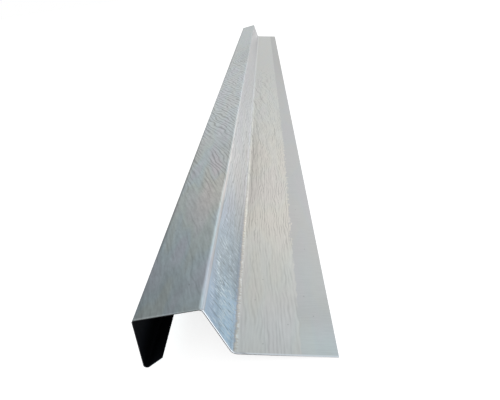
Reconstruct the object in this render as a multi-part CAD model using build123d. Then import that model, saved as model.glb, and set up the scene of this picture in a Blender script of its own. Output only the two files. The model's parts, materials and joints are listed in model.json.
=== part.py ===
from build123d import *
from math import asin, atan2, degrees
import os

# Eaves flashing: one strip of galvanised sheet steel, folded along its length on a press brake.
# In section, from the front: a stiffening lip turned in and up behind the front flange, the front
# flange that covers the fascia, a rising top plate, a web that steps down to the roof, and the roof
# flange that is nailed to the deck under the roof covering.
#
# The strip runs along Y, with the front flange on the -X side. It lies on a level floor as a loose
# length does, on the fold of its lip and the free edge of its roof flange. The origin is on the
# floor under the middle of the strip.

# Sheet: sold in 2 m lengths, from a quarter of a 1250 mm wide coil
LENGTH = 2000.0
THICKNESS = 0.7

# Widths of the five flats, measured on the weather face to the sharp corners of the folds
LIP_WIDTH = 29.1
FRONT_WIDTH = 71.5
TOP_WIDTH = 63.5
WEB_WIDTH = 63.0
ROOF_WIDTH = 95.5

# Folds, in degrees that the sheet turns out of the flat: the valley turns the other way
LIP_FOLD = 136.0
FRONT_FOLD = 74.5
RIDGE_FOLD = 83.0
VALLEY_FOLD = 67.0

# Inside radii of the folds
LIP_RADIUS = 2.5
FRONT_RADIUS = 2.4
RIDGE_RADIUS = 3.3
VALLEY_RADIUS = 7.5


def step(width, heading):
    """The way from one corner of the section to the next."""
    return Vector(width, 0).rotate(Axis.Z, heading)


def weather_line():
    """The weather face's line in the drawing plane, from the lip's free edge to the roof flange's.
    The front flange is plumb there. The line is outside every fold but the valley."""
    front_heading = 90
    lip_heading = front_heading + LIP_FOLD
    top_heading = front_heading - FRONT_FOLD
    web_heading = top_heading - RIDGE_FOLD
    roof_heading = web_heading + VALLEY_FOLD

    lip_edge = Vector(0, 0)
    lip_corner = lip_edge + step(LIP_WIDTH, lip_heading)
    front_corner = lip_corner + step(FRONT_WIDTH, front_heading)
    ridge_corner = front_corner + step(TOP_WIDTH, top_heading)
    valley_corner = ridge_corner + step(WEB_WIDTH, web_heading)
    roof_edge = valley_corner + step(ROOF_WIDTH, roof_heading)
    return FilletPolyline(
        lip_edge, lip_corner, front_corner, ridge_corner, valley_corner, roof_edge,
        radius=[LIP_RADIUS + THICKNESS, FRONT_RADIUS + THICKNESS, RIDGE_RADIUS + THICKNESS, VALLEY_RADIUS],
    )


def rest_turn(line):
    """Degrees to turn the section by, so that a level floor touches the lip's fold from below and
    passes through the lower corner of the roof flange's free edge."""
    runs = line.edges().sort_by(line)
    lip_fold = runs.filter_by(GeomType.CIRCLE)[0]
    roof_run = runs[-1]
    downwards = (roof_run % 1).rotate(Axis.Z, -90)
    roof_foot = (roof_run @ 1) + downwards * THICKNESS
    reach = roof_foot - lip_fold.arc_center
    return -degrees(atan2(reach.Y, reach.X) + asin(lip_fold.radius / reach.length))


def flashing_sheet():
    """The folded strip, laid on the floor over the origin."""
    line = weather_line()
    strip = make_brake_formed(THICKNESS, LENGTH, line, side=Side.RIGHT)
    strip = strip.rotate(Axis.Z, rest_turn(line)).rotate(Axis.X, 90)
    box = strip.bounding_box()
    return Pos(-box.center().X, -box.center().Y, -box.min.Z) * strip


os.makedirs("parts", exist_ok=True)
export_step(flashing_sheet(), "parts/flashing_sheet.step")
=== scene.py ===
import json
from math import atan2, pi, radians, tan

import bpy
from mathutils import Matrix, Vector


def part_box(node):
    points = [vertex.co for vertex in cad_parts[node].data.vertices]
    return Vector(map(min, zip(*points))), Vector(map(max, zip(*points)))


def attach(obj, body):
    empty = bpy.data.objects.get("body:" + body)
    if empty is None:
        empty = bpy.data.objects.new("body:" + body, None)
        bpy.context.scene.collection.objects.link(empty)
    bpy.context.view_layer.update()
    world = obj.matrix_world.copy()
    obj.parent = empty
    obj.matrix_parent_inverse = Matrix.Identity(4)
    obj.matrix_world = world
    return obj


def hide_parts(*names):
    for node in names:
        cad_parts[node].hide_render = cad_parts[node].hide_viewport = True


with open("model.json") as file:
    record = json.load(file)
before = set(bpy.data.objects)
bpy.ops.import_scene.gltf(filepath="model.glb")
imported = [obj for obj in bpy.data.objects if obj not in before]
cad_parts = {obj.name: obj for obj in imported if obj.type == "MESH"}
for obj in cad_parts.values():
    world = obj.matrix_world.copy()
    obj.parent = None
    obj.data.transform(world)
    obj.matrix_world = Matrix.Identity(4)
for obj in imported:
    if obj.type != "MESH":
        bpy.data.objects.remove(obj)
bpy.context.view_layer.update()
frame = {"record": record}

# The folded strip: one length of galvanised sheet steel, slit from a coil and cut off on a guillotine.
# It starts as a flat blank, and a press brake folds it four times along its length: the lip, the front
# fold and the ridge one way, and the valley the other.
STRIP_LENGTH = 2.0
SHEET_THICKNESS = 0.0007

# Widths on the weather face between the sharp corners, from the lip's free edge to the roof flange's
LIP_WIDTH = 0.0291
FRONT_WIDTH = 0.0715
TOP_WIDTH = 0.0635
WEB_WIDTH = 0.0630
ROOF_WIDTH = 0.0955

# Turns out of the flat and radii on the weather face, from the lip's fold to the valley, which turns up
FOLD_NAMES = ("Lip Fold", "Front Fold", "Ridge", "Valley")
FOLD_TURNS = (radians(136.0), radians(74.5), radians(83.0), radians(-67.0))
FOLD_RADII = (0.0032, 0.0031, 0.0040, 0.0075)

# A fold takes its setback from the widths on both sides of it
setbacks = [radius * tan(abs(turn) / 2) for turn, radius in zip(FOLD_TURNS, FOLD_RADII)]
arcs = [radius * abs(turn) for turn, radius in zip(FOLD_TURNS, FOLD_RADII)]
flats = [LIP_WIDTH, FRONT_WIDTH, TOP_WIDTH, WEB_WIDTH, ROOF_WIDTH]
for place, setback in enumerate(setbacks):
    flats[place] -= setback
    flats[place + 1] -= setback

# Where each fold starts, measured across the blank from the lip's free edge
fold_lines = []
for place in range(len(arcs)):
    fold_lines.append(sum(flats[:place + 1]) + sum(arcs[:place]))

# The blank is meshed in strips: a wide one for each flat, and a finer one for each fold, which takes
# a narrow margin of the flats with it so that their shading stays flat
FOLD_MARGIN = 0.0005
FLAT_COLUMNS = (4, 10, 10, 10, 15)
FOLD_COLUMNS = (18, 12, 14, 14)
STRIP_ROWS = 320
MERGE_DISTANCE = 0.00001
SHARP_ANGLE = 1.0
cuts = [0.0]
for line, arc in zip(fold_lines, arcs):
    cuts += [line - FOLD_MARGIN, line + arc + FOLD_MARGIN]
cuts.append(sum(flats) + sum(arcs))
columns = [FLAT_COLUMNS[0]]
for fold_columns, flat_columns in zip(FOLD_COLUMNS, FLAT_COLUMNS[1:]):
    columns += [fold_columns, flat_columns]

# Faces that aren't on the weather side are marked as underside or as cut edge
BACK_FACE = 1
EDGE_FACE = 2

# Coil set and handling leave the flats faintly wavy
WAVE_HEIGHT = 0.00025
WAVES_PER_METRE = 9.0
WAVE_SEED = 4.0


def add(tree, kind, *feeds, **settings):
    """Adds a node with its settings, feeds its inputs in order and returns it. None leaves an input alone."""
    node = tree.nodes.new(kind)
    for name, value in settings.items():
        setattr(node, name, value)
    for socket, feed in zip([s for s in node.inputs if s.enabled], feeds):
        if isinstance(feed, bpy.types.NodeSocket):
            tree.links.new(feed, socket)
        elif feed is not None:
            socket.default_value = feed
    return node


def calculate(tree, operation, *feeds):
    """A Math node's result."""
    return add(tree, "ShaderNodeMath", *feeds, operation=operation).outputs[0]


def times(tree, first, second):
    """The product of two numbers."""
    return calculate(tree, "MULTIPLY", first, second)


def press_brake_fold():
    """A node group that folds a flat sheet in its X, Z plane. What is past the fold line winds round
    the bend's centre line, and what is past the bend follows it straight on."""
    tree = bpy.data.node_groups.new("press_brake_fold", "GeometryNodeTree")
    tree.interface.new_socket("Sheet", in_out="INPUT", socket_type="NodeSocketGeometry")
    for name in ("Line", "Turn", "Radius"):
        tree.interface.new_socket(name, in_out="INPUT", socket_type="NodeSocketFloat")
    tree.interface.new_socket("Sheet", in_out="OUTPUT", socket_type="NodeSocketGeometry")
    given = tree.nodes.new("NodeGroupInput").outputs
    across = add(tree, "GeometryNodeInputNamedAttribute", "across", data_type="FLOAT").outputs["Attribute"]
    arc = times(tree, given["Radius"], calculate(tree, "ABSOLUTE", given["Turn"]))
    past_line = calculate(tree, "SUBTRACT", across, given["Line"])
    wound = add(tree, "ShaderNodeClamp", past_line, 0.0, arc).outputs[0]
    side = calculate(tree, "SIGN", given["Turn"])
    drop = times(tree, given["Radius"], side)
    angle = calculate(tree, "DIVIDE", wound, drop)
    below = times(tree, drop, -1.0)
    centre = add(tree, "ShaderNodeCombineXYZ", given["Line"], 0.0, below).outputs[0]
    pull = add(tree, "ShaderNodeCombineXYZ", wound, 0.0, 0.0).outputs[0]
    place = tree.nodes.new("GeometryNodeInputPosition").outputs[0]
    pulled = add(tree, "ShaderNodeVectorMath", place, pull, operation="SUBTRACT").outputs[0]
    turned = add(tree, "ShaderNodeVectorRotate", pulled, centre, angle, rotation_type="Y_AXIS").outputs[0]
    folded = add(tree, "GeometryNodeSetPosition", given["Sheet"], None, turned).outputs[0]
    tree.links.new(folded, tree.nodes.new("NodeGroupOutput").inputs[0])
    return tree


def strip_tree(fold_group):
    """The tree that cuts the blank, gives it its thickness, folds it and lays it on the floor."""
    tree = bpy.data.node_groups.new("folded_strip", "GeometryNodeTree")
    sizes = ["Length", "Thickness"] + [f"Cut {place}" for place in range(len(cuts))]
    for name in FOLD_NAMES:
        sizes += [f"{name} Line", f"{name} Turn", f"{name} Radius"]
    sizes += ["Wave Height", "Waves", "Wave Seed", "Rest Turn"]
    for name in sizes:
        tree.interface.new_socket(name, in_out="INPUT", socket_type="NodeSocketFloat")
    tree.interface.new_socket("Low Corner", in_out="INPUT", socket_type="NodeSocketVector")
    for name in ("Weather Face", "Back Coat", "Sheared Edge"):
        tree.interface.new_socket(name, in_out="INPUT", socket_type="NodeSocketMaterial")
    tree.interface.new_socket("Strip", in_out="OUTPUT", socket_type="NodeSocketGeometry")
    given = tree.nodes.new("NodeGroupInput").outputs

    # The flat blank, weather face up, with its near end at Y = 0
    joined = tree.nodes.new("GeometryNodeJoinGeometry")
    half_length = times(tree, given["Length"], 0.5)
    for place in range(len(cuts) - 1):
        start = given[f"Cut {place}"]
        end = given[f"Cut {place + 1}"]
        width = calculate(tree, "SUBTRACT", end, start)
        middle = times(tree, calculate(tree, "ADD", start, end), 0.5)
        grid = add(tree, "GeometryNodeMeshGrid", width, given["Length"], columns[place] + 1, STRIP_ROWS + 1)
        centre = add(tree, "ShaderNodeCombineXYZ", middle, half_length, 0.0).outputs[0]
        moved = add(tree, "GeometryNodeTransform", grid.outputs["Mesh"])
        tree.links.new(centre, moved.inputs["Translation"])
        tree.links.new(moved.outputs[0], joined.inputs[0])
    merged = add(tree, "GeometryNodeMergeByDistance", joined.outputs[0], None, MERGE_DISTANCE).outputs[0]

    # Its flat pattern, which the folds look up and the finish is drawn in
    place = tree.nodes.new("GeometryNodeInputPosition").outputs[0]
    across, along, _ = add(tree, "ShaderNodeSeparateXYZ", place).outputs
    marked = add(tree, "GeometryNodeStoreNamedAttribute", merged, None, "across", across,
                 data_type="FLOAT", domain="POINT").outputs[0]
    pattern = add(tree, "ShaderNodeCombineXYZ", across, along, 0.0).outputs[0]
    marked = add(tree, "GeometryNodeStoreNamedAttribute", marked, None, "flat_pattern", pattern,
                 data_type="FLOAT2", domain="CORNER").outputs[0]

    # Faint waves, then the thickness: the underside and the cut edges are drawn down from the weather face
    noise = add(tree, "ShaderNodeTexNoise", place, given["Wave Seed"], given["Waves"], 1.0,
                noise_dimensions="4D")
    wave = times(tree, calculate(tree, "SUBTRACT", noise.outputs[0], 0.5), given["Wave Height"])
    lift = add(tree, "ShaderNodeCombineXYZ", 0.0, 0.0, wave).outputs[0]
    weather = add(tree, "GeometryNodeSetPosition", marked, None, None, lift).outputs[0]
    depth = times(tree, given["Thickness"], -1.0)
    drawn = add(tree, "GeometryNodeExtrudeMesh", weather, None, (0.0, 0.0, 1.0), depth, False, mode="FACES")
    kinds = add(tree, "GeometryNodeSwitch", drawn.outputs["Side"], BACK_FACE, EDGE_FACE,
                input_type="INT").outputs[0]
    below = add(tree, "GeometryNodeStoreNamedAttribute", drawn.outputs["Mesh"], None, "face_kind", kinds,
                data_type="INT", domain="FACE").outputs[0]
    below = add(tree, "GeometryNodeFlipFaces", below).outputs[0]
    solid = tree.nodes.new("GeometryNodeJoinGeometry")
    tree.links.new(below, solid.inputs[0])
    tree.links.new(weather, solid.inputs[0])
    sheet = add(tree, "GeometryNodeMergeByDistance", solid.outputs[0], None, MERGE_DISTANCE).outputs[0]

    # The folds, from the far one back to the lip, so that each carries what is already folded
    for name in reversed(FOLD_NAMES):
        fold = add(tree, "GeometryNodeGroup", node_tree=fold_group)
        tree.links.new(sheet, fold.inputs[0])
        for value in ("Line", "Turn", "Radius"):
            tree.links.new(given[f"{name} {value}"], fold.inputs[value])
        sheet = fold.outputs[0]

    # Laid on the floor, in the corner of the frame's box
    place = tree.nodes.new("GeometryNodeInputPosition").outputs[0]
    laid = add(tree, "ShaderNodeVectorRotate", place, None, given["Rest Turn"],
               rotation_type="Y_AXIS").outputs[0]
    sheet = add(tree, "GeometryNodeSetPosition", sheet, None, laid).outputs[0]
    corner = add(tree, "GeometryNodeBoundBox", sheet).outputs["Min"]
    shift = add(tree, "ShaderNodeVectorMath", given["Low Corner"], corner, operation="SUBTRACT").outputs[0]
    sheet = add(tree, "GeometryNodeSetPosition", sheet, None, None, shift).outputs[0]

    # Smooth faces with sharp cut edges, and a material for each kind of face
    kind = add(tree, "GeometryNodeInputNamedAttribute", "face_kind", data_type="INT").outputs["Attribute"]
    is_edge = add(tree, "FunctionNodeCompare", kind, EDGE_FACE, data_type="INT", operation="EQUAL").outputs[0]
    is_back = add(tree, "FunctionNodeCompare", kind, BACK_FACE, data_type="INT", operation="EQUAL").outputs[0]
    angle = tree.nodes.new("GeometryNodeInputMeshEdgeAngle").outputs["Unsigned Angle"]
    is_smooth = add(tree, "FunctionNodeCompare", angle, SHARP_ANGLE,
                    data_type="FLOAT", operation="LESS_THAN").outputs[0]
    sheet = add(tree, "GeometryNodeSetShadeSmooth", sheet, None, True, domain="FACE").outputs[0]
    sheet = add(tree, "GeometryNodeSetShadeSmooth", sheet, None, is_smooth, domain="EDGE").outputs[0]
    sheet = add(tree, "GeometryNodeRealizeInstances", sheet).outputs[0]
    sheet = add(tree, "GeometryNodeSetMaterial", sheet, None, given["Weather Face"]).outputs[0]
    sheet = add(tree, "GeometryNodeSetMaterial", sheet, is_back, given["Back Coat"]).outputs[0]
    sheet = add(tree, "GeometryNodeSetMaterial", sheet, is_edge, given["Sheared Edge"]).outputs[0]
    tree.links.new(sheet, tree.nodes.new("NodeGroupOutput").inputs[0])
    return tree


# The weather face's finish: zinc under a thin clear film, which has wrinkled into fine grain-like lines
# and shows faint rainbow tints. It is drawn on the flat pattern, X across the blank from the lip's free
# edge and Y along it from the near end, in metres, and the grain runs its own way on each plate.
front_middle = fold_lines[1] + arcs[1] / 2
ridge_middle = fold_lines[2] + arcs[2] / 2
valley_middle = fold_lines[3] + arcs[3] / 2

# Top plate and front flange
TOP_NEAR = (0.565, 0.635, 0.668)
TOP_MIDDLE = (0.620, 0.650, 0.663)
TOP_BRIGHT = (0.648, 0.684, 0.698)
TOP_FAR = (0.575, 0.610, 0.610)
TOP_BY_RIDGE = (0.670, 0.672, 0.662)
TOP_CALM = (0.560, 0.640, 0.650)
TOP_LEAN = 0.30
TOP_DRIFT = 0.12
TOP_WIDE_LINES = {"spacing": 0.0064, "width": 0.0025, "wander": 2.8, "wander_size": (0.020, 0.055),
                  "jitter": 1.0, "jitter_size": (0.0080, 0.018), "thinned": 0.35}
TOP_FINE_LINES = {"spacing": 0.0060, "width": 0.0021, "wander": 3.0, "wander_size": (0.024, 0.075),
                  "jitter": 0.7, "jitter_size": (0.0085, 0.018)}
TOP_BOLD_LINES = {"spacing": 0.0078, "width": 0.0026, "wander": 2.8, "wander_size": (0.026, 0.070),
                  "jitter": 1.0, "jitter_size": (0.010, 0.022)}

# Web, with painted reflection in its tones and painted glints in its flecks
WEB_END = (0.485, 0.605, 0.745)
WEB_NEAR = (0.465, 0.540, 0.630)
WEB_BRIGHT = (0.728, 0.723, 0.738)
WEB_FAR = (0.522, 0.513, 0.517)
WEB_BLUE_REFLECTION = (0.625, 0.800, 0.985)
WEB_FLECK_GLINT = (0.830, 0.915, 1.000)
FLECK_TURN = radians(-6.0)
SMALL_FLECK = (0.0090, 0.0013)
LARGE_FLECK = (0.0140, 0.0023)
HOLLOW_DEPTH = 0.42
WEB_LINES = {"spacing": 0.0058, "width": 0.0022, "wander": 2.4, "wander_size": (0.014, 0.070),
             "jitter": 1.0, "jitter_size": (0.006, 0.014), "thinned": 0.4}

# Roof flange, and the plain strip by its free edge
ROOF_END = (0.695, 0.715, 0.705)
ROOF_NEAR = (0.690, 0.685, 0.650)
ROOF_WARM = (0.770, 0.728, 0.670)
ROOF_MIDDLE = (0.718, 0.705, 0.665)
ROOF_FAR = (0.636, 0.626, 0.596)
STRIP_END = (0.655, 0.710, 0.715)
STRIP_NEAR = (0.605, 0.612, 0.605)
STRIP_MIDDLE = (0.596, 0.582, 0.570)
STRIP_FAR = (0.530, 0.513, 0.494)
ROOF_FAN_NEAR = -0.016
ROOF_FAN_FAR = 0.056
ROOF_WIDE_LINES = {"spacing": 0.0044, "width": 0.0022, "wander": 2.4, "wander_size": (0.018, 0.050),
                   "jitter": 0.9, "jitter_size": (0.0070, 0.016), "thinned": 0.25}
ROOF_FINE_LINES = {"spacing": 0.0034, "width": 0.0013, "wander": 3.0, "wander_size": (0.016, 0.060),
                   "jitter": 1.0, "jitter_size": (0.0055, 0.011), "thinned": 0.2}
ROOF_BANDS = {"spacing": 0.0080, "width": 0.0030, "wander": 2.4, "wander_size": (0.024, 0.090),
              "jitter": 0.9, "jitter_size": (0.009, 0.022), "thinned": 0.5}
STRIP_STARTS_NEAR = 0.0625
STRIP_STARTS_FAR = 0.0685
NICK_DEPTH = 0.009
TOOTH_DEPTH = 0.011

# Painted highlights and shade along the folds, and the film's tints, multiply those colours, and the cut ends
# get painted shade and a painted highlight
UNCHANGED = (1.0, 1.0, 1.0)
RIDGE_HIGHLIGHT_NEAR = (1.01, 0.875, 0.775)
RIDGE_HIGHLIGHT_BRIGHT = (1.12, 1.08, 1.06)
RIDGE_HIGHLIGHT_FAR = (1.10, 1.09, 1.08)
VALLEY_SHADE_NEAR = (0.72, 0.67, 0.63)
VALLEY_SHADE_FAR = (0.82, 0.82, 0.82)
FILM_LAVENDER = (1.010, 0.975, 1.025)
FILM_TEAL = (0.960, 1.005, 1.015)
FILM_STRAW = (1.000, 1.010, 0.960)
FILM_PINK = (1.025, 0.985, 0.970)
END_HIGHLIGHT = (0.880, 0.940, 1.000)


def finish_tree(name):
    """A new material, its node tree and its Principled shader."""
    material = bpy.data.materials.new(name)
    material.use_nodes = True
    tree = material.node_tree
    return material, tree, tree.nodes["Principled BSDF"]


def ramp(tree, value, low, high, at_low=0.0, at_high=1.0):
    """A smooth change from one level to another as the value goes from low to high."""
    node = add(tree, "ShaderNodeMapRange", value, low, high, at_low, at_high, interpolation_type="SMOOTHSTEP")
    return node.outputs[0]


def between(tree, value, *corners):
    """1 between the two middle corners, falling away to 0 at the outer two."""
    return times(tree, ramp(tree, value, *corners[:2]), ramp(tree, value, *corners[2:], 1.0, 0.0))


def beside(tree, across, middle, *offsets):
    """The same, with the corners measured from the middle of a fold."""
    return between(tree, across, *[middle + offset for offset in offsets])


def blotches(tree, pattern, size, seed, detail=2.0):
    """A soft random field, about 0.5 on the whole, with blotches of that size across and along."""
    mapped = add(tree, "ShaderNodeMapping", pattern, (0.0, 0.0, seed), None,
                 (1 / size[0], 1 / size[1], 1.0)).outputs[0]
    return add(tree, "ShaderNodeTexNoise", mapped, 1.0, detail, 0.5, noise_dimensions="3D").outputs[0]


def jags(tree, pattern, size, seed, detail=2.0):
    """The same field, to either side of 0."""
    return calculate(tree, "SUBTRACT", blotches(tree, pattern, size, seed, detail), 0.5)


def blend(tree, share, first, second):
    """A mix of two colours."""
    node = add(tree, "ShaderNodeMix", data_type="RGBA")
    for socket, feed in ((node.inputs[0], share), (node.inputs[6], first), (node.inputs[7], second)):
        if isinstance(feed, bpy.types.NodeSocket):
            tree.links.new(feed, socket)
        elif isinstance(feed, tuple):
            socket.default_value = (*feed, 1.0)
        else:
            socket.default_value = feed
    return node.outputs[2]


def mix(tree, share, first, second):
    """A mix of two numbers."""
    return add(tree, "ShaderNodeMix", share, first, second).outputs[0]


def slanted(tree, across, along, lean):
    """The flat pattern sheared, so that what runs along it leans towards the front."""
    sheared = calculate(tree, "MULTIPLY_ADD", along, lean, across)
    return add(tree, "ShaderNodeCombineXYZ", sheared, along, 0.0).outputs[0]


def grain_lines(tree, pattern, seed, spacing, width, wander, wander_size, jitter, jitter_size, thinned=0.0):
    """Thin lines along the pattern that wander, close up and part again, as 0 to 1. Wander and jitter are
    in spacings. Where the lines are thinned, every other one fades."""
    across = add(tree, "ShaderNodeSeparateXYZ", pattern).outputs[0]
    phase = times(tree, across, 1 / spacing)
    phase = calculate(tree, "MULTIPLY_ADD", jags(tree, pattern, wander_size, seed, 1.0), wander, phase)
    phase = calculate(tree, "MULTIPLY_ADD", jags(tree, pattern, jitter_size, seed + 3.7, 1.0), jitter, phase)
    off_line = calculate(tree, "PINGPONG", phase, 0.5)
    lines = ramp(tree, off_line, 0.0, width / spacing, 1.0, 0.0)
    other = times(tree, calculate(tree, "PINGPONG", phase, 1.0), thinned)
    return times(tree, lines, calculate(tree, "SUBTRACT", 1.0, other))


def specks(tree, pattern, cell, radius, share):
    """Small spots, one in some of the cells, as 0 to 1."""
    cells = add(tree, "ShaderNodeTexVoronoi", pattern, 1 / cell, voronoi_dimensions="2D")
    spot = ramp(tree, cells.outputs["Distance"], 0.4 * radius / cell, radius / cell, 1.0, 0.0)
    pick = add(tree, "ShaderNodeSeparateXYZ", cells.outputs["Color"]).outputs[0]
    return times(tree, spot, calculate(tree, "LESS_THAN", pick, share))


def fade(tree, value, colour, *changes):
    """A colour that turns into the next one over each span of the value."""
    for low, high, following in changes:
        colour = blend(tree, ramp(tree, value, low, high), colour, following)
    return colour


def film_tint(tree, pattern):
    """The film's faint rainbow of lavender, teal, straw and pink, which drifts along the strip."""
    drift = ramp(tree, blotches(tree, pattern, (0.030, 0.120), 23.0, 1.0), 0.30, 0.70)
    return fade(tree, drift, FILM_LAVENDER, (0.0, 0.35, FILM_TEAL), (0.35, 0.65, FILM_STRAW),
                (0.65, 1.0, FILM_PINK))


def shade(tree, share, level, bare=1.0):
    """A shade that goes from bare to the level as the share goes from 0 to 1."""
    return ramp(tree, share, 0.0, 1.0, bare, level)


def variation(tree, field, spread, low=0.25, high=0.75):
    """A shade that varies about 1 with a random field."""
    return ramp(tree, field, low, high, 1 - spread, 1 + spread)


def shaded(tree, colour, *shades):
    """A colour times any number of shades."""
    for level in shades:
        colour = add(tree, "ShaderNodeVectorMath", colour, level, operation="SCALE").outputs[0]
    return colour


def top_finish(tree, across, along):
    """Top plate and front flange: colour, and the dark wavy lines that lean towards the front."""
    drawn = calculate(tree, "ADD", across, ramp(tree, along, 0.10, 1.00, 0.0, TOP_DRIFT))
    leaning = slanted(tree, drawn, along, TOP_LEAN)

    # Wide soft lines by the near end, then finer ones, then bold ones further on
    wide = grain_lines(tree, leaning, 4.0, **TOP_WIDE_LINES)
    wide = times(tree, wide, ramp(tree, along, 0.14, 0.30, 0.46, 0.30))
    fine = grain_lines(tree, leaning, 1.0, **TOP_FINE_LINES)
    further = ramp(tree, along, 0.28, 0.44)
    fine = times(tree, fine, ramp(tree, along, 0.10, 0.28, 0.15, 1.0))
    fine = times(tree, fine, shade(tree, further, 0.15))
    bold = grain_lines(tree, leaning, 3.0, **TOP_BOLD_LINES)
    fine = calculate(tree, "MAXIMUM", fine, times(tree, bold, further))

    # They come and go, and are faint in a calm band along the middle
    least = ramp(tree, along, 0.15, 0.30, 0.30, 0.65)
    strength = ramp(tree, blotches(tree, leaning, (0.015, 0.060), 8.0), 0.32, 0.62, least, 1.0)
    strength = times(tree, strength, ramp(tree, along, 0.95, 1.50, 1.0, 0.40))
    calm = times(tree, between(tree, along, 0.12, 0.20, 0.28, 0.50),
                 beside(tree, across, front_middle, 0.008, 0.015, 0.024, 0.034))
    strength = times(tree, strength, shade(tree, calm, 0.45))
    lines = times(tree, calculate(tree, "MAXIMUM", wide, fine), strength)

    # Painted light along the plate: darker and cooler by the near end, brightest past the middle and darker
    # again towards the far end. A darker stain lies towards the far end, by the ridge
    colour = fade(tree, along, TOP_NEAR, (0.08, 0.28, TOP_MIDDLE), (0.32, 0.45, TOP_BRIGHT),
                  (0.75, 1.30, TOP_FAR))
    by_ridge = times(tree, ramp(tree, across, ridge_middle - 0.050, ridge_middle - 0.015),
                     between(tree, along, 0.09, 0.20, 0.24, 0.36))
    colour = blend(tree, by_ridge, colour, TOP_BY_RIDGE)
    colour = blend(tree, times(tree, calm, 0.5), colour, TOP_CALM)
    stain = times(tree, ramp(tree, across, ridge_middle - 0.040, ridge_middle - 0.014),
                  between(tree, along, 0.96, 1.04, 1.14, 1.30))
    depth = ramp(tree, along, 0.26, 0.50, 0.67, 0.60)
    streaks = blotches(tree, leaning, (0.0034, 0.020), 13.0)
    mottle = blotches(tree, leaning, (0.0022, 0.0050), 16.0)
    colour = shaded(tree, colour, shade(tree, lines, depth, 1.02), variation(tree, streaks, 0.09),
                    variation(tree, mottle, 0.05), shade(tree, stain, 0.90))
    return colour, times(tree, lines, -1.0)


def web_finish(tree, pattern, across, along):
    """Web: colour, and the short bright flecks and dark hollows by the near end where the film is crinkled.
    The flecks stand up in the relief; their brightness is a painted glint, and the hollows' darkness is
    painted shade.
    """
    turned = add(tree, "ShaderNodeVectorRotate", pattern, None, FLECK_TURN, rotation_type="Z_AXIS").outputs[0]
    small = blotches(tree, turned, SMALL_FLECK, 14.0, 1.0)
    large = blotches(tree, turned, LARGE_FLECK, 18.0, 1.0)
    patch = ramp(tree, blotches(tree, pattern, (0.018, 0.032), 15.0), 0.36, 0.60, 0.20, 1.0)
    near = times(tree, ramp(tree, along, 0.05, 0.24, 1.0, 0.0),
                 between(tree, across, ridge_middle + 0.003, ridge_middle + 0.016,
                         valley_middle - 0.006, valley_middle - 0.002))
    near = times(tree, near, ramp(tree, along, 0.003, 0.018, 0.50, 1.0))
    flecks = times(tree, ramp(tree, small, 0.56, 0.64), patch)
    flecks = calculate(tree, "MAXIMUM", flecks, ramp(tree, large, 0.61, 0.68))
    flecks = times(tree, flecks, near)
    hollows = times(tree, ramp(tree, large, 0.26, 0.48, 1.0, 0.0), near)

    # Fine lines run along the rest of it
    waves = blotches(tree, slanted(tree, across, along, 0.10), (0.0050, 0.022), 5.0)
    lines = grain_lines(tree, slanted(tree, across, along, -0.05), 25.0, **WEB_LINES)
    lines = times(tree, lines, between(tree, along, 0.06, 0.20, 0.70, 1.20))

    # Painted reflection and shade: the web is bluer low down by the near end, brightest over the middle of
    # its length and darker towards the far end, and its shade changes across it from the ridge to the valley
    colour = fade(tree, along, WEB_END, (0.01, 0.07, WEB_NEAR), (0.10, 0.29, WEB_BRIGHT),
                  (0.45, 1.20, WEB_FAR))
    lower = between(tree, across, ridge_middle + 0.020, valley_middle - 0.014,
                    valley_middle - 0.004, valley_middle + 0.001)
    lower = times(tree, lower, ramp(tree, along, 0.040, 0.085, 1.0, 0.0))
    colour = blend(tree, lower, colour, WEB_BLUE_REFLECTION)
    by_ridge = ramp(tree, along, 0.12, 0.65, 0.98, 0.77)
    by_valley = ramp(tree, along, 0.16, 0.40, 0.94, 1.10)
    slope = ramp(tree, across, ridge_middle, valley_middle, by_ridge, by_valley)
    slope = calculate(tree, "MULTIPLY_ADD", hollows, -HOLLOW_DEPTH, slope)
    colour = shaded(tree, colour, slope, variation(tree, waves, 0.07), shade(tree, lines, 0.78, 1.04),
                    ramp(tree, along, 1.10, 1.75, 1.0, 0.68))
    return blend(tree, flecks, colour, WEB_FLECK_GLINT), times(tree, flecks, 1.2)


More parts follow.
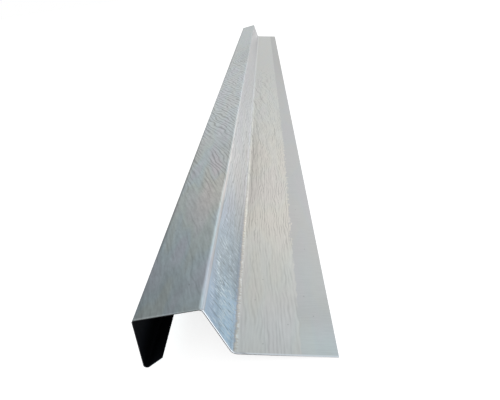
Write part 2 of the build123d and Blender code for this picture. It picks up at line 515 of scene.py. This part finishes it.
def roof_finish(tree, pattern, across, along):
    """Roof flange: colour, with fine wavy lines along it and a plain strip by its free edge."""
    from_valley = calculate(tree, "SUBTRACT", across, valley_middle)
    fan = calculate(tree, "ADD", ramp(tree, along, 0.0, 0.18, ROOF_FAN_NEAR, 0.0),
                    ramp(tree, along, 0.38, 1.00, 0.0, ROOF_FAN_FAR))
    fan = times(tree, fan, ramp(tree, from_valley, 0.0, 0.066, 1.0, 0.35))
    fanned = add(tree, "ShaderNodeCombineXYZ", calculate(tree, "ADD", across, fan), along, 0.0).outputs[0]
    wide = grain_lines(tree, fanned, 2.0, **ROOF_WIDE_LINES)
    wide = times(tree, wide, ramp(tree, along, 0.10, 0.22, 0.55, 0.20))
    fine = grain_lines(tree, fanned, 7.0, **ROOF_FINE_LINES)
    kept = times(tree, ramp(tree, along, 0.30, 0.80, 1.0, 0.80), between(tree, along, 0.04, 0.20, 0.95, 1.35))
    fine = times(tree, fine, kept)
    strength = ramp(tree, blotches(tree, pattern, (0.008, 0.045), 9.0), 0.34, 0.62, 0.30, 1.0)
    lines = times(tree, calculate(tree, "MAXIMUM", wide, fine), strength)

    # Broad bands, strongest by the valley, and painted shade beside the valley over a stretch of it. The
    # plate's tone along its length is partly its own and partly painted light, warmest a little past the near
    # end and darker towards the far end
    bands = grain_lines(tree, fanned, 6.0, **ROOF_BANDS)
    by_valley = times(tree, ramp(tree, from_valley, 0.008, 0.040, 1.0, 0.40),
                      between(tree, along, 0.14, 0.36, 0.90, 1.30))
    bands = times(tree, bands, by_valley)
    streaks = blotches(tree, pattern, (0.0018, 0.014), 19.0)
    valley_side_shade = times(tree, ramp(tree, from_valley, 0.005, 0.030, 1.0, 0.0),
                 between(tree, along, 0.12, 0.30, 0.45, 0.62))
    colour = fade(tree, along, ROOF_END, (0.02, 0.08, ROOF_NEAR), (0.08, 0.22, ROOF_WARM),
                  (0.40, 0.70, ROOF_MIDDLE), (0.70, 1.30, ROOF_FAR))
    colour = shaded(tree, colour, shade(tree, lines, 0.76, 1.02), shade(tree, bands, 0.80),
                    variation(tree, streaks, 0.04), shade(tree, valley_side_shade, 0.90))

    # The strip's edge is uneven, and jagged over a stretch of it
    nicks = jags(tree, pattern, (0.005, 0.014), 11.0, 3.0)
    teeth = jags(tree, pattern, (0.004, 0.0050), 12.0)
    teeth = times(tree, teeth, between(tree, along, 0.05, 0.20, 0.45, 0.65))
    edge = ramp(tree, along, 0.05, 0.55, STRIP_STARTS_NEAR, STRIP_STARTS_FAR)
    edge = calculate(tree, "MULTIPLY_ADD", nicks, NICK_DEPTH, edge)
    edge = calculate(tree, "MULTIPLY_ADD", teeth, TOOTH_DEPTH, edge)
    on_strip = ramp(tree, calculate(tree, "SUBTRACT", from_valley, edge), -0.0010, 0.0010)
    scratches = blotches(tree, pattern, (0.020, 0.0012), 41.0)
    # The strip's tone along its length is partly painted light, darker towards the far end
    plain = fade(tree, along, STRIP_END, (0.01, 0.05, STRIP_NEAR), (0.08, 0.16, STRIP_MIDDLE),
                 (0.65, 1.40, STRIP_FAR))
    plain = shaded(tree, plain, variation(tree, scratches, 0.025, 0.30, 0.70))
    height = times(tree, lines, calculate(tree, "SUBTRACT", on_strip, 1.0))
    return blend(tree, on_strip, colour, plain), height


def galvanised_finish():
    """The finishes of the plates, joined in the folds, with painted highlights and shade along the folds and
    at the cut ends, and tints, clouds and specks over them all.
    """
    material, tree, shader = finish_tree("galvanised_face")
    pattern = add(tree, "ShaderNodeUVMap", uv_map="flat_pattern").outputs[0]
    across, along, _ = add(tree, "ShaderNodeSeparateXYZ", pattern).outputs
    top_colour, top_height = top_finish(tree, across, along)
    web_colour, web_height = web_finish(tree, pattern, across, along)
    roof_colour, roof_height = roof_finish(tree, pattern, across, along)

    # The film crinkles in the folds, so one plate's finish starts unevenly after the other's
    ticks = jags(tree, pattern, (0.0050, 0.0020), 31.0)
    uneven = calculate(tree, "MULTIPLY_ADD", ticks, ramp(tree, along, 0.16, 0.34, 0.008, 0.003), across)
    shifted_across = calculate(tree, "SUBTRACT", across, ramp(tree, along, 0.03, 0.22, 0.0, 0.0010))
    past_ridge = ramp(tree, shifted_across, ridge_middle - 0.0020, ridge_middle + 0.0020)
    past_valley = ramp(tree, uneven, valley_middle - 0.0012, valley_middle + 0.0008)
    colour = blend(tree, past_ridge, top_colour, web_colour)
    colour = blend(tree, past_valley, colour, roof_colour)
    height = mix(tree, past_ridge, top_height, web_height)
    height = mix(tree, past_valley, height, roof_height)

    # Painted highlight along the ridge, with a painted shade line before it over a stretch
    highlight_across = calculate(tree, "ADD", shifted_across, ramp(tree, along, 0.20, 0.45, 0.0, 0.0015))
    on_ridge = beside(tree, highlight_across, ridge_middle, -0.0015, 0.0010, 0.0030, 0.0048)
    ridge_highlight = fade(tree, along, RIDGE_HIGHLIGHT_NEAR, (0.13, 0.30, RIDGE_HIGHLIGHT_BRIGHT), (0.45, 0.70, RIDGE_HIGHLIGHT_FAR),
                   (1.00, 1.30, UNCHANGED))
    ridge_highlight = blend(tree, on_ridge, UNCHANGED, ridge_highlight)
    by_ridge = times(tree, beside(tree, shifted_across, ridge_middle, -0.0055, -0.0030, -0.0015, 0.0005),
                     between(tree, along, 0.14, 0.24, 0.32, 0.44))

    # Painted shade in the valley, with a painted highlight line after it
    in_valley = beside(tree, uneven, valley_middle, -0.0040, -0.0005, 0.0010, 0.0035)
    valley_shade = fade(tree, along, VALLEY_SHADE_NEAR, (0.12, 0.40, VALLEY_SHADE_FAR), (0.60, 0.90, UNCHANGED))
    valley_shade = blend(tree, in_valley, UNCHANGED, valley_shade)
    valley_highlight = times(tree, beside(tree, uneven, valley_middle, 0.0, 0.0018, 0.0030, 0.0052),
                      between(tree, along, 0.10, 0.26, 0.55, 0.85))

    # Painted shade along the front fold, wider over the near half and again towards the far end
    on_front = beside(tree, across, front_middle, -0.0040, -0.0010, 0.0005, 0.0022)
    far_front = times(tree, beside(tree, across, front_middle, -0.0080, -0.0020, 0.0025, 0.0080),
                      ramp(tree, along, 0.55, 1.20))
    near_front = times(tree, beside(tree, across, front_middle, -0.0015, 0.0, 0.0024, 0.0042),
                       between(tree, along, 0.05, 0.12, 0.34, 0.55))

    # Painted light at the cut ends: painted shade on the top plate, and a painted highlight on the web and
    # the roof flange
    from_end = calculate(tree, "MINIMUM", along, calculate(tree, "SUBTRACT", STRIP_LENGTH, along))
    end_shade = mix(tree, ramp(tree, from_end, 0.0005, 0.0016), mix(tree, past_ridge, 0.75, 1.0), 1.0)
    end_highlight = times(tree, ramp(tree, across, ridge_middle - 0.0020, ridge_middle),
                ramp(tree, across, valley_middle + 0.0010, valley_middle + 0.0120, 1.0, 0.70))
    end_highlight = times(tree, end_highlight, ramp(tree, from_end, 0.0012, 0.0020, 1.0, 0.0))

    # Tints, clouds and specks lie over it all
    cloud = blotches(tree, pattern, (0.014, 0.060), 20.0, 3.0)
    spots = specks(tree, pattern, 0.026, 0.0011, 0.35)
    tint_share = mix(tree, past_ridge, ramp(tree, along, 0.22, 0.42, 1.0, 0.60), 0.30)
    tint = blend(tree, tint_share, UNCHANGED, film_tint(tree, pattern))
    for layer in (tint, ridge_highlight, valley_shade):
        colour = add(tree, "ShaderNodeVectorMath", colour, layer, operation="MULTIPLY").outputs[0]
    colour = shaded(tree, colour, shade(tree, valley_highlight, 1.20), shade(tree, by_ridge, 0.82),
                    shade(tree, on_front, 0.44), shade(tree, near_front, 0.74), shade(tree, far_front, 0.70),
                    end_shade, variation(tree, cloud, 0.025, 0.3, 0.7), shade(tree, spots, 0.80))
    colour = blend(tree, end_highlight, colour, END_HIGHLIGHT)
    tree.links.new(colour, shader.inputs["Base Color"])
    shader.inputs["Metallic"].default_value = 1.0
    tree.links.new(ramp(tree, cloud, 0.3, 0.7, 0.30, 0.36), shader.inputs["Roughness"])

    # Relief: the cut ends are rolled over, the lines are fine furrows, and the flecks stand up
    rolled = add(tree, "ShaderNodeBump", 1.0, 0.0030)
    rolled_off = ramp(tree, across, valley_middle + 0.002, valley_middle + 0.014)
    tree.links.new(ramp(tree, from_end, -0.0018, 0.0018, rolled_off, 1.0), rolled.inputs["Height"])
    relief = add(tree, "ShaderNodeBump", 0.20, 0.0002)
    tree.links.new(height, relief.inputs["Height"])
    tree.links.new(rolled.outputs[0], relief.inputs["Normal"])
    tree.links.new(relief.outputs[0], shader.inputs["Normal"])
    return material


# The underside's finish: near black, clouded and matt
UNDERSIDE_DARK = (0.0080, 0.0094, 0.0125)
UNDERSIDE_PALE = (0.0115, 0.0130, 0.0165)
UNDERSIDE_GLOSS = 0.02


def dark_underside_finish():
    """The underside's near-black finish."""
    material, tree, shader = finish_tree("dark_underside")
    pattern = add(tree, "ShaderNodeUVMap", uv_map="flat_pattern").outputs[0]
    cloud = blotches(tree, pattern, (0.030, 0.110), 51.0, 4.0)
    colour = blend(tree, ramp(tree, cloud, 0.35, 0.65), UNDERSIDE_DARK, UNDERSIDE_PALE)
    tree.links.new(colour, shader.inputs["Base Color"])
    tree.links.new(ramp(tree, cloud, 0.3, 0.7, 0.58, 0.72), shader.inputs["Roughness"])
    shader.inputs["Specular IOR Level"].default_value = UNDERSIDE_GLOSS
    return material


# The cut edges' finish: bare steel, with painted shade that makes it near black at the ends of the top plate
# and the web, and paler towards the roof flange's free edge
EDGE_TOP = (0.030, 0.030, 0.032)
EDGE_WEB = (0.030, 0.030, 0.034)
EDGE_ROOF = (0.060, 0.060, 0.060)
EDGE_FREE = (0.60, 0.60, 0.60)
EDGE_ROUGHNESS = 0.35


def sheared_finish():
    """Bare steel where the guillotine and the slitter cut, torn and satin, and near black at the ends as
    painted shade.
    """
    material, tree, shader = finish_tree("sheared_edge")
    pattern = add(tree, "ShaderNodeUVMap", uv_map="flat_pattern").outputs[0]
    across = add(tree, "ShaderNodeSeparateXYZ", pattern).outputs[0]
    past_ridge = ramp(tree, across, ridge_middle - 0.002, ridge_middle + 0.004)
    past_valley = ramp(tree, across, valley_middle, valley_middle + 0.012)
    colour = blend(tree, past_ridge, EDGE_TOP, EDGE_WEB)
    colour = blend(tree, past_valley, colour, EDGE_ROOF)
    colour = blend(tree, ramp(tree, across, valley_middle + 0.020, valley_middle + 0.080), colour, EDGE_FREE)
    torn = ramp(tree, blotches(tree, pattern, (0.004, 0.004), 61.0), 0.3, 0.7, 0.88, 1.08)
    tree.links.new(shaded(tree, colour, torn), shader.inputs["Base Color"])
    shader.inputs["Metallic"].default_value = 1.0
    shader.inputs["Roughness"].default_value = EDGE_ROUGHNESS
    return material


galvanised_face = galvanised_finish()
dark_underside = dark_underside_finish()
sheared_edge = sheared_finish()

# The roof flange's mount in the frame says how far the strip is turned where it lies
roof_mount = next(m for m in frame["record"]["mounts"] if m["name"] == "roof_flange_top")
roof_slope = atan2(roof_mount["axis"][0], roof_mount["axis"][2])
rest_turn = roof_slope - sum(FOLD_TURNS)
low_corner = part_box("flashing_sheet")[0]

blank = bpy.data.objects.new("blank", bpy.data.meshes.new("blank"))
bpy.context.scene.collection.objects.link(blank)
brake = blank.modifiers.new("brake", "NODES")
brake.node_group = strip_tree(press_brake_fold())
values = {"Length": STRIP_LENGTH, "Thickness": SHEET_THICKNESS}
values |= {"Rest Turn": rest_turn, "Low Corner": low_corner}
values |= {"Wave Height": WAVE_HEIGHT, "Waves": WAVES_PER_METRE, "Wave Seed": WAVE_SEED}
values |= {f"Cut {place}": cut for place, cut in enumerate(cuts)}
for name, line, turn, radius in zip(FOLD_NAMES, fold_lines, FOLD_TURNS, FOLD_RADII):
    values |= {f"{name} Line": line, f"{name} Turn": turn, f"{name} Radius": radius}
values |= {"Weather Face": galvanised_face, "Back Coat": dark_underside, "Sheared Edge": sheared_edge}
for item in brake.node_group.interface.items_tree:
    if item.in_out == "INPUT":
        brake[item.identifier] = values[item.name]

# The folded result becomes a plain mesh, without the tree's empty first slot and its working values
depsgraph = bpy.context.evaluated_depsgraph_get()
strip_mesh = bpy.data.meshes.new_from_object(blank.evaluated_get(depsgraph), depsgraph=depsgraph)
blank.modifiers.remove(brake)
bpy.data.objects.remove(blank)
strip_mesh.name = "folded_strip"
strip_mesh.materials.pop(index=0)
for name in ("across", "face_kind"):
    strip_mesh.attributes.remove(strip_mesh.attributes[name])
folded_strip = bpy.data.objects.new("folded_strip", strip_mesh)
bpy.context.scene.collection.objects.link(folded_strip)
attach(folded_strip, "root")
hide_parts("flashing_sheet")

# The studio: a white floor that runs on past the view, in a soft tent that is brightest in front and on
# the right, with a white backdrop round the horizon.
FLOOR_REACH = 60.0
FLOOR_COLOUR = (0.8, 0.8, 0.8, 1.0)
FLOOR_ROUGHNESS = 0.9
FLOOR_GLOW = 0.80
WHITE = (1.0, 1.0, 1.0)
BACKDROP_TOP = (0.045, 0.10)
TENT_LEVEL = (0.13, 0.13, 0.13)

# Each light of the tent: degrees to the right of the strip's far end, degrees up, tightness and colour
TENT_LIGHTS = (
    (-15, 6, 10.0, (0.65, 0.66, 0.66)),
    (0, 52, 10.0, (0.52, 0.52, 0.52)),
    (35, 20, 10.0, (1.08, 1.17, 1.22)),
    (110, 30, 3.0, (0.24, 0.24, 0.24)),
    (180, 40, 3.2, (0.48, 0.48, 0.48)),
    (-110, 30, 5.5, (0.38, 0.38, 0.38)),
)


def seen_directly(tree):
    """1 for the camera and for what mirrors or passes light, and 0 for light that falls on things."""
    path = tree.nodes.new("ShaderNodeLightPath").outputs
    seen = calculate(tree, "MAXIMUM", path["Is Camera Ray"], path["Is Glossy Ray"])
    return calculate(tree, "MAXIMUM", seen, path["Is Transmission Ray"])


floor_mesh = bpy.data.meshes.new("floor")
floor_mesh.from_pydata(
    [(x * FLOOR_REACH, y * FLOOR_REACH, 0.0) for x, y in ((-1, -1), (1, -1), (1, 1), (-1, 1))],
    [], [(0, 1, 2, 3)])
floor = bpy.data.objects.new("floor", floor_mesh)
bpy.context.scene.collection.objects.link(floor)
floor_white, tree, shader = finish_tree("floor_white")
shader.inputs["Base Color"].default_value = FLOOR_COLOUR
shader.inputs["Roughness"].default_value = FLOOR_ROUGHNESS
shader.inputs["Specular IOR Level"].default_value = 0.0
shader.inputs["Emission Color"].default_value = (*WHITE, 1.0)
tree.links.new(times(tree, seen_directly(tree), FLOOR_GLOW), shader.inputs["Emission Strength"])
floor_mesh.materials.append(floor_white)

world = bpy.data.worlds.new("studio_tent")
bpy.context.scene.world = world
world.use_nodes = True
tree = world.node_tree
towards = tree.nodes.new("ShaderNodeTexCoord").outputs["Generated"]
glow = add(tree, "ShaderNodeCombineXYZ", *TENT_LEVEL).outputs[0]
for azimuth, elevation, tightness, colour in TENT_LIGHTS:
    raised = Matrix.Rotation(radians(elevation), 3, "X") @ Vector((0, 1, 0))
    aim = Matrix.Rotation(radians(-azimuth), 3, "Z") @ raised
    facing = add(tree, "ShaderNodeVectorMath", towards, aim, operation="DOT_PRODUCT").outputs["Value"]
    level = calculate(tree, "POWER", calculate(tree, "MAXIMUM", facing, 0.0), tightness)
    lit = add(tree, "ShaderNodeVectorMath", colour, level, operation="SCALE").outputs[0]
    glow = add(tree, "ShaderNodeVectorMath", glow, lit, operation="ADD").outputs[0]
height = add(tree, "ShaderNodeSeparateXYZ", towards).outputs[2]
backdrop = times(tree, seen_directly(tree), ramp(tree, height, *BACKDROP_TOP, 1.0, 0.0))
glow = blend(tree, backdrop, glow, WHITE)
tree.links.new(glow, tree.nodes["Background"].inputs["Color"])

# The camera: held by hand over the near end, looking down the strip and tipped to one side.
CAMERA_PLACE = (0.055986, -1.191836, 0.296041)
CAMERA_LENS = 25.257
CAMERA_SENSOR = 36.0
CAMERA_NEAREST = 0.01
LOOKS_DOWN = radians(31.942)
TURNED_LEFT = radians(6.597)
TIPPED = radians(-9.024)
camera_data = bpy.data.cameras.new("camera")
camera_data.lens = CAMERA_LENS
camera_data.sensor_width = CAMERA_SENSOR
camera_data.clip_start = CAMERA_NEAREST
camera = bpy.data.objects.new("camera", camera_data)
aim = Matrix.Rotation(TURNED_LEFT, 4, "Z") @ Matrix.Rotation(pi / 2 - LOOKS_DOWN, 4, "X")
aim = aim @ Matrix.Rotation(TIPPED, 4, "Z")
camera.matrix_world = Matrix.Translation(Vector(CAMERA_PLACE)) @ aim
bpy.context.scene.collection.objects.link(camera)
bpy.context.scene.camera = camera
bpy.context.scene.view_settings.view_transform = "Standard"
